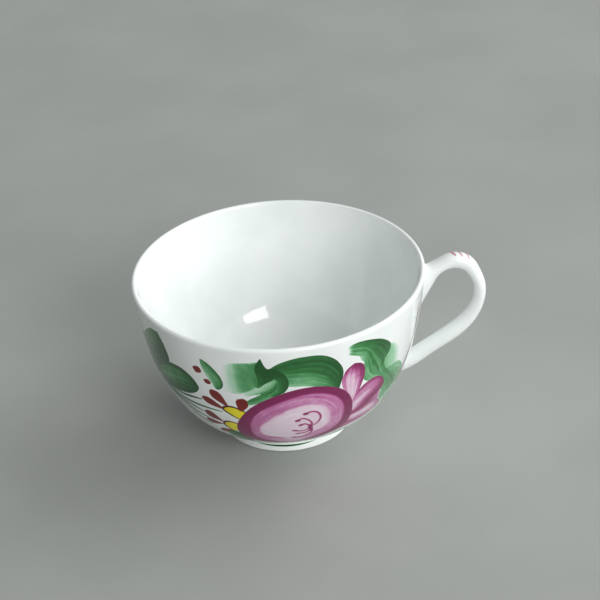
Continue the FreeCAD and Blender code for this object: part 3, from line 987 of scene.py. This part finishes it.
def paint_foot_line_and_crease_shade():
    """A dark green line on the foot ring in front, just under the bowl's overhang: partly green paint,
    partly painted shade of the crease there.
    """
    foot_line_and_shade = Paint("painted_foot_line_and_crease_shade", place=on_ring)
    # Darkest in the middle front, where it stands for the shade under the bowl's bulge as well as for
    # paint.
    foot_line_and_shade.ribbon(
        [(-124, 2.5, .1, .2), (-116, 2.3, .2, .4), (-108, 2.15, .28, .8), (-98, 2.1, .34, .95),
         (-86, 2.1, .34, .95), (-76, 2.2, .24, .8), (-66, 2.45, .08, .4)], UNDER)
    foot_line_and_shade.finish(GREEN)


ROSE_OUTLINE = [(-111, 14.6), (-114.6, 17.2), (-115.9, 20.8), (-114.6, 25), (-111, 29.8),
                (-105.8, 34.6), (-98.6, 38.4), (-90, 41.1), (-81, 41.8), (-74, 40.5),
                (-67.5, 37.2), (-63.4, 32), (-61.8, 26), (-62.6, 20.4), (-67, 16.6),
                (-74, 14), (-82, 12.5), (-92, 12), (-102, 12.8)]
ROSE_CENTRE = (-88.5, 25.5)
ROSE_POINTS = 168
# Places along the rose's rim, clockwise from the start of its outline, where the whole rim
# is 2 pi.
ROSE_LEFT, ROSE_RIGHT, ROSE_BELOW = 0.35, 4.4, 5.4


def bump_near(turn, middle, width):
    """1 at one angle, fading to 0 on both sides of it."""
    return np.exp(-((turn - middle) / width) ** 2)


def rose_load(edge, share, turn):
    """A loaded ring, a streaky band inside it, and a pale flat heart."""
    left = bump_near(turn, ROSE_LEFT, 0.5) + bump_near(turn, ROSE_LEFT + 2 * np.pi, 0.5)
    right = bump_near(turn, ROSE_RIGHT, 0.5)
    below = bump_near(turn, ROSE_BELOW, 0.45)
    ring_width = 3.0 + 2.0 * left + 0.5 * right - 2.3 * below
    band_width = 4.6 - 1.6 * left - 0.6 * below
    ring = 1 - ease((edge - ring_width + 0.5) / 1.3)
    band = 0.43 * (1 - ease((edge - ring_width - band_width + 1.0) / 2.4)) * (1 - 0.5 * below)
    return np.clip(np.maximum(ring * (1 - 0.25 * below), np.maximum(band, 0.1)), 0, 1)


def paint_rose():
    """The round flower."""
    rose = Paint("painted_rose")
    rose.disc(smooth_loop(ROSE_OUTLINE, ROSE_POINTS), ROSE_CENTRE, rose_load, TOP)
    rose.finish(ROSE)


def paint_petals():
    """Three petals that open to the right of the flower."""
    petals = Paint("painted_petals")
    # Shade where the petals meet.
    petals.blade(
        [(-65, 27), (-60, 26.6), (-55, 27.6), (-50, 29), (-46.6, 30.6)],
        [(-65, 22.4), (-60, 23), (-54, 23.4), (-48, 23.4), (-44.6, 23)],
        [(.95, .9, .9), (.9, .8, .8), (.8, .7, .6), (.6, .45, .3)], UNDER, dry=(0, 2))
    petals.blade(
        [(-65.5, 31), (-67, 35.2), (-68.4, 38.5), (-69, 41), (-68.4, 43.3), (-66.6, 45.5), (-63.9, 46.7)],
        [(-62, 30.5), (-60.4, 34.6), (-59.2, 37.8), (-58.3, 40.6), (-58.5, 43.2), (-60.3, 45.7),
         (-63.3, 46.7)],
        [(.9, .35, .25, .3, .9), (.6, .2, .2, .24, .9), (.5, .2, .2, .25, .95), (.5, .2, .2, .4, 1),
         (.55, .25, .25, .65, 1), (.9, .55, .75, 1, 1), (1, 1, 1, 1, 1)], OVER)
    petals.blade(
        [(-64, 31), (-61.6, 33.8), (-58.8, 36), (-55.5, 37.1), (-52, 37.3), (-48.8, 36.2), (-46.4, 34),
         (-45.2, 31.6)],
        [(-64.2, 24.4), (-60.5, 24.3), (-56.5, 25.2), (-53, 26.6), (-50, 27.9), (-47.4, 29.2),
         (-45.6, 30.8)],
        [(.9, .35, .2, .2, .6), (.85, .35, .2, .2, .9), (.85, .4, .2, .6, 1), (.85, .35, .3, .9, 1),
         (.85, .45, .6, 1, 1), (1, .9, 1, 1, 1), (1, 1, 1, 1, 1)], OVER)
    petals.blade(
        [(-65, 23.2), (-60.5, 24.3), (-56, 24.8), (-52, 25.6), (-48, 25.6), (-44.5, 23.6), (-41, 20.8)],
        [(-65, 19.6), (-60, 18.8), (-54, 18.2), (-48, 18.2), (-44.5, 18.8), (-41.2, 20)],
        [(1, .6, .5, .7, 1), (1, .2, .15, .3, .9), (.95, .2, .15, .35, .8), (.7, .2, .15, .35, .8),
         (.8, .4, .35, .5, .8), (.9, .8, .7, .8, .85)], MIDDLE)
    petals.blade(
        [(-70, 17.5), (-64, 19.2), (-58, 18.9), (-52, 18.9), (-46, 19.3)],
        [(-70, 14.6), (-64, 16.2), (-58, 16.8), (-52, 17.2), (-46, 18)],
        [(.8, .7, .5), (.8, .65, .4), (.7, .5, .3), (.5, .3, .1)], UNDER, dry=(0, 3))
    petals.finish(ROSE)


# Half the width of each curl's head, and its line from there.
CURLS = [
    (.68, [(-84, 30.5), (-82, 31.1), (-79.8, 30.9), (-78.1, 29.6), (-77.3, 27.8), (-77.7, 26),
           (-79, 24.6), (-80.8, 23.7)]),
    (.68, [(-87.4, 27.5), (-85.4, 28.4), (-83.4, 27.7), (-81.6, 26.2), (-80.7, 24.2)]),
    (.56, [(-86, 24.9), (-84.3, 25.3), (-82.8, 24.6), (-81.8, 23.2)]),
    (.42, [(-89, 22), (-86.6, 21.4), (-84, 21.5), (-81.8, 22.7)]),
    (.36, [(-87.4, 19.9), (-85, 19.9), (-83, 20.3), (-81.9, 21.2)]),
    (.42, [(-89.4, 17.4), (-87, 17.1), (-84.2, 17.5), (-81.9, 18.6), (-80.6, 20.2), (-81, 22.4)]),
]


def paint_curls():
    """Fine curls in the heart of the flower, each begun with the full tip of the brush."""
    curls = Paint("painted_curls")
    for head, spine in CURLS:
        last = len(spine) - 1
        path = []
        for i, (angle, length) in enumerate(spine):
            path.append((angle, length, .46 - .1 * i / last, .7 - .05 * i / last))
        curls.ribbon(path, LAST, profile=(.6, 1, .6))
        angle, length = spine[0]
        curls.ribbon([(angle - 1.2, length - .2, head * .5, .7), (angle, length, head, .95),
                      (angle + 1.3, length + .2, head * .55, .75)], LAST + 0.004)
    # The blot where they meet.
    curls.ribbon([(-81.6, 24.8, .4, .8), (-81.6, 23.2, .8, .95), (-81.2, 21.4, .6, .9),
                  (-81.4, 20.2, .3, .7)], LAST + 0.007)
    curls.finish(CURL)


# A drop's share of its length from its fat end, its share of the half width, and its load.
DROP_SHAPE = [(0, .25, .9), (.12, .75, 1), (.32, 1, 1), (.6, .72, .95), (.85, .34, .9), (1, .12, .8)]
# Fat end, tip and half width.
DROPS = [((-123, 39.2), (-116.2, 33.0), 1.85), ((-128.3, 34.9), (-118, 31.4), 1.6),
         ((-130, 27.8), (-121.6, 24.3), 1.85), ((-132.4, 22.3), (-122.6, 22.7), 1.4),
         ((-127, 17.3), (-119.6, 20.1), 1.3)]


def teardrop(paint, fat_end, tip, half_width, lift):
    """A drop-shaped touch of the brush, from its fat end to its tip."""
    fat_end, tip = np.array(fat_end, float), np.array(tip, float)
    spine = []
    for share, half, load in DROP_SHAPE:
        spine.append((*(fat_end + (tip - fat_end) * share), half * half_width, load))
    paint.ribbon(spine, lift)


def paint_buds():
    """Dark red dots and drops over the two calyxes."""
    buds = Paint("painted_buds")
    for angle, length, reach, half in ((-127.3, 46.2, 1.9, 1.2), (-123.6, 42.3, 1.5, .9)):
        buds.ribbon([(angle - reach, length + .5, .3, .9),
                     (angle - reach / 2, length + .3, half * .9, 1),
                     (angle + reach / 2, length - .25, half, 1),
                     (angle + reach, length - .6, .3, .95)], UNDER)
    for fat_end, tip, half_width in DROPS:
        teardrop(buds, fat_end, tip, half_width, MIDDLE)
    buds.ribbon([(-110.4, 37.6, .9, .9), (-110, 36.7, 1.7, 1), (-109.9, 35.2, 1.85, 1),
                 (-110.6, 33.4, 1.2, .95), (-111, 31.8, .5, .8)], OVER)
    buds.finish(RED)


CALYX_POINTS = 64
CALYXES = [
    [(-119.3, 31.8), (-116.8, 33.2), (-113.6, 33.3), (-109.6, 31.9), (-109.5, 29.4),
     (-112, 27.4), (-114.8, 28.6), (-117.4, 30.2)],
    [(-121.9, 23), (-119.8, 25), (-117, 25.2), (-114.4, 24.4), (-114, 22), (-116, 20.4),
     (-118.8, 20), (-121, 21.2)],
]
CALYX_OUTLINES = [
    [(-108.8, 31.5), (-111.5, 32.7), (-114.5, 33.4), (-117, 33.2), (-119.2, 31.8),
     (-117.6, 30.3), (-115.2, 28.9), (-112.4, 27.7)],
    [(-114.4, 24.8), (-117, 25.3), (-119.6, 25.1), (-121.7, 23.8), (-121.8, 22.4),
     (-120.6, 21), (-118.8, 20.1)],
]


def calyx_load(edge, share, turn):
    """Full yellow, a little thinner in the middle."""
    return np.clip(0.8 - 0.3 * (1 - share) + 0.1 * np.cos(turn), 0, 1)


def paint_calyxes():
    """Two yellow calyxes with brown outlines, half under the flower."""
    yellow = Paint("painted_calyxes")
    outlines = Paint("painted_outlines")
    for corners, outline in zip(CALYXES, CALYX_OUTLINES):
        loop = smooth_loop(corners, CALYX_POINTS)
        yellow.disc(loop, loop[:, :2].mean(0), calyx_load, MIDDLE)
        ends = len(outline) - 1
        outlines.ribbon([(angle, length, .24 + .2 * math.sin(math.pi * i / ends), .95)
                         for i, (angle, length) in enumerate(outline)], OVER)
    yellow.finish(YELLOW)
    outlines.finish(BROWN)


def paint_line_and_edge_shade_by_handle():
    """A dark red line down the wall beside the handle, near where the wall's edge shows against the handle:
    partly red paint, partly painted shade along that edge.
    """
    lines = Paint("painted_line_and_edge_shade")
    # Kept just inside the wall's edge, so that it darkens that edge as painted shade.
    lines.ribbon(
        [(-20.4, 51, .25, .5), (-21.3, 49, .5, .8), (-21.9, 46, .6, 1), (-22.4, 43, .65, 1),
         (-23.8, 39.4, .7, 1), (-26, 35.8, .7, 1), (-28.2, 32.6, .6, 1), (-30.8, 29.8, .5, .8),
         (-34, 26.4, .2, .5)], MIDDLE)
    lines.finish(RED_LINE_AND_EDGE_SHADE)


# Their place along the handle, their turn from its outside in degrees, and their load.
HANDLE_TICKS = [(14.3, 10, 0.45), (15.9, 10, 0.42), (17.6, 10, 0.4), (20.8, 40, 0.25)]
TICK_HALF_TURN = 42.0
TICK_HALF_LENGTH = 2.0
TICK_HALF_WIDTH = 0.38
TICK_SLANT = -0.7
TICK_TAPER = 0.75
TICK_ROWS, TICK_COLUMNS = 22, 9


def paint_handle_ticks():
    """Short slanted strokes across the back of the handle."""
    ticks = Paint("painted_handle_ticks", place=on_handle)
    share, across = np.meshgrid(np.linspace(-1, 1, TICK_ROWS), np.linspace(-1, 1, TICK_COLUMNS),
                                indexing="ij")
    half_width = TICK_HALF_WIDTH * (1 - TICK_TAPER * share ** 4)
    edge = np.minimum((1 - np.abs(across)) * half_width, (1 - np.abs(share)) * TICK_HALF_LENGTH)
    brush = np.stack([TICK_HALF_LENGTH * share, 0 * share, across], -1)
    for along, turn, load in HANDLE_TICKS:
        ticks.patch(along + TICK_SLANT * share + half_width * across,
                    np.radians(turn + TICK_HALF_TURN * share), np.full(share.shape, load), brush,
                    MIDDLE, edge)
    ticks.finish(PALE_ROSE)


def paint_back():
    """The side away from the big rose: a small bud between leaves, with dots."""
    leaves = Paint("painted_back_leaves")
    leaves.blade(
        [(86, 24), (80, 28), (73, 31), (66, 31.5), (61, 29)],
        [(86, 23), (82, 22.5), (75, 22), (67, 24), (61, 28.6)],
        [(.5, .5, .5), (.9, .6, .4), (1, .65, .45), (1, .8, .6), (1, 1, 1)], UNDER)
    leaves.blade(
        [(92, 24), (98, 29), (105, 32), (112, 32), (117, 29.5)],
        [(92, 23), (96, 22.3), (104, 22), (112, 24.6), (117, 29)],
        [(.5, .5, .5), (.4, .6, .9), (.45, .65, 1), (.6, .8, 1), (1, 1, 1)], UNDER)
    leaves.blade(
        [(88.5, 20), (84, 16.5), (78, 14.5), (72, 15.5)],
        [(89, 19), (86, 13.5), (79, 11), (72, 15)],
        [(.7, .7, .7), (.9, .6, .5), (.9, .7, .6), (1, 1, 1)], UNDER)
    leaves.ribbon(
        [(88, 16, .3, .8), (89, 20, .4, .9), (89.5, 25, .35, .9), (89.3, 29, .3, .8)], MIDDLE)
    leaves.finish(GREEN)
    bud = Paint("painted_back_bud")
    bud.blade(
        [(89, 28), (84, 31), (82, 35), (83.5, 39), (87, 42)],
        [(89.5, 28), (90.5, 31), (90.5, 35), (89.8, 39), (87.5, 42)],
        [(.9, .9, .9), (.9, .4, .5), (.95, .35, .4), (.9, .4, .5), (.9, .9, .9)], MIDDLE)
    bud.blade(
        [(89.5, 28), (88.5, 31), (88.6, 35), (89.6, 39), (92, 42)],
        [(90, 28), (95, 31), (97, 35), (96, 39), (92.5, 42)],
        [(.9, .9, .9), (.5, .35, .95), (.4, .3, 1), (.5, .4, .95), (.9, .9, .9)], OVER)
    bud.finish(ROSE)
    dots = Paint("painted_back_dots")
    for angle, length in ((77, 37), (74, 40.5), (102, 37.5), (105.5, 41)):
        dots.ribbon([(angle - 1.3, length + .3, .3, .9), (angle, length, .85, 1),
                     (angle + 1.3, length - .3, .3, .9)], UNDER)
    dots.finish(RED)


paint_leaves()
paint_washes()
paint_sprigs()
paint_foot_line_and_crease_shade()
paint_petals()
paint_rose()
paint_curls()
paint_buds()
paint_calyxes()
paint_line_and_edge_shade_by_handle()
paint_handle_ticks()
paint_back()

# ---- Floor, light and camera
FLOOR_HALF_M = 3.0
FLOOR_DROP_M = 0.00003
FLOOR_DARK = shade(157, 159, 156)
FLOOR_LIGHT = shade(163, 165, 162)
CUP_MIDDLE_M = Vector((0, 0, 0.03))
ROOM_LEFT = (0.21, 0.22, 0.217, 1)
ROOM_MIDDLE = (0.31, 0.325, 0.32, 1)
ROOM_RIGHT = (1.8, 1.87, 1.85, 1)


def make_floor():
    """A plain pale floor just under the foot."""
    corners = [(-1, -1), (1, -1), (1, 1), (-1, 1)]
    mesh = bpy.data.meshes.new("floor")
    mesh.from_pydata([(x * FLOOR_HALF_M, y * FLOOR_HALF_M, -FLOOR_DROP_M) for x, y in corners],
                     [], [(0, 1, 2, 3)])
    floor = bpy.data.objects.new("floor", mesh)
    bpy.context.scene.collection.objects.link(floor)
    material, tree, place = new_material("pale_floor")
    colour = ramp(tree, noise(tree, place, 18.0, 4.0), [(0.3, FLOOR_DARK), (0.7, FLOOR_LIGHT)])
    surface(tree, {"Base Color": colour, "Roughness": 0.6,
                   "Normal": bumped(tree, noise(tree, place, 600.0, 3.0), 0.1, 0.0002)})
    mesh.materials.append(material)


def area_light(name, azimuth, elevation, distance_m, size_m, watts, colour=(1, 1, 1)):
    """A flat lamp that faces the cup from a direction: degrees from +X, and above level."""
    lamp = bpy.data.lights.new(name, "AREA")
    lamp.shape = "RECTANGLE"
    lamp.size, lamp.size_y = size_m
    lamp.energy = watts
    lamp.color = colour
    holder = bpy.data.objects.new(name, lamp)
    turn, rise = math.radians(azimuth), math.radians(elevation)
    towards = Vector((math.cos(turn) * math.cos(rise), math.sin(turn) * math.cos(rise),
                      math.sin(rise)))
    holder.location = CUP_MIDDLE_M + towards * distance_m
    holder.rotation_euler = towards.to_track_quat("Z", "Y").to_euler()
    bpy.context.scene.collection.objects.link(holder)


def make_light():
    """A soft window on the right, a brighter one in front, a small far one, and a pale room."""
    area_light("side_window", azimuth=24, elevation=40, distance_m=1.6, size_m=(1.1, 0.9),
               watts=5.5, colour=(0.98, 1.0, 0.99))
    area_light("front_window", azimuth=-62.5, elevation=25.5, distance_m=1.8,
               size_m=(0.74, 0.93), watts=15.5)
    area_light("far_window", azimuth=-128, elevation=19, distance_m=1.8, size_m=(0.09, 0.05),
               watts=0.05)
    world = bpy.data.worlds.new("room")
    world.use_nodes = True
    tree = world.node_tree
    direction = add(tree, "ShaderNodeTexCoord").outputs["Generated"]
    across = add(tree, "ShaderNodeSeparateXYZ", {"Vector": direction}).outputs["X"]
    colour = ramp(tree, spread(tree, across, -1.0, 1.0, 0.0, 1.0),
                  [(0.0, ROOM_LEFT), (0.5, ROOM_MIDDLE), (1.0, ROOM_RIGHT)], "LINEAR")
    tree.links.new(colour, tree.nodes["Background"].inputs["Color"])
    bpy.context.scene.world = world
    bpy.context.scene.view_settings.view_transform = "Standard"


# Angles in degrees. The distance is back from the origin along the camera's view, and the
# other two shift it along its own right and up.
CAMERA_TILT = 31.72
CAMERA_ROLL = -3.467
CAMERA_TURN = -1.5
CAMERA_DISTANCE = 578.0
CAMERA_ASIDE = 4.06
CAMERA_ABOVE = 36.20
LENS = 108.0
SENSOR = 36.0
NEAREST_SEEN_M = 0.01


def make_camera():
    """Looks along +Y and down at the cup, turned a little about the cup's axis."""
    tilt, roll = math.radians(CAMERA_TILT), math.radians(CAMERA_ROLL)
    forward = Vector((0, math.cos(tilt), -math.sin(tilt)))
    level = Vector((1, 0, 0))
    upright = level.cross(forward)
    right = math.cos(roll) * level + math.sin(roll) * upright
    above = -math.sin(roll) * level + math.cos(roll) * upright
    place = -CAMERA_DISTANCE * forward + CAMERA_ASIDE * right + CAMERA_ABOVE * above
    axes = Matrix((right, above, -forward)).transposed().to_4x4()
    camera = bpy.data.objects.new("camera", bpy.data.cameras.new("camera"))
    camera.matrix_world = (Matrix.Rotation(math.radians(CAMERA_TURN), 4, "Z")
                           @ Matrix.Translation(place * METRES) @ axes)
    camera.data.lens = LENS
    camera.data.sensor_width = SENSOR
    camera.data.clip_start = NEAREST_SEEN_M
    bpy.context.scene.collection.objects.link(camera)
    bpy.context.scene.camera = camera


make_floor()
make_light()
make_camera()
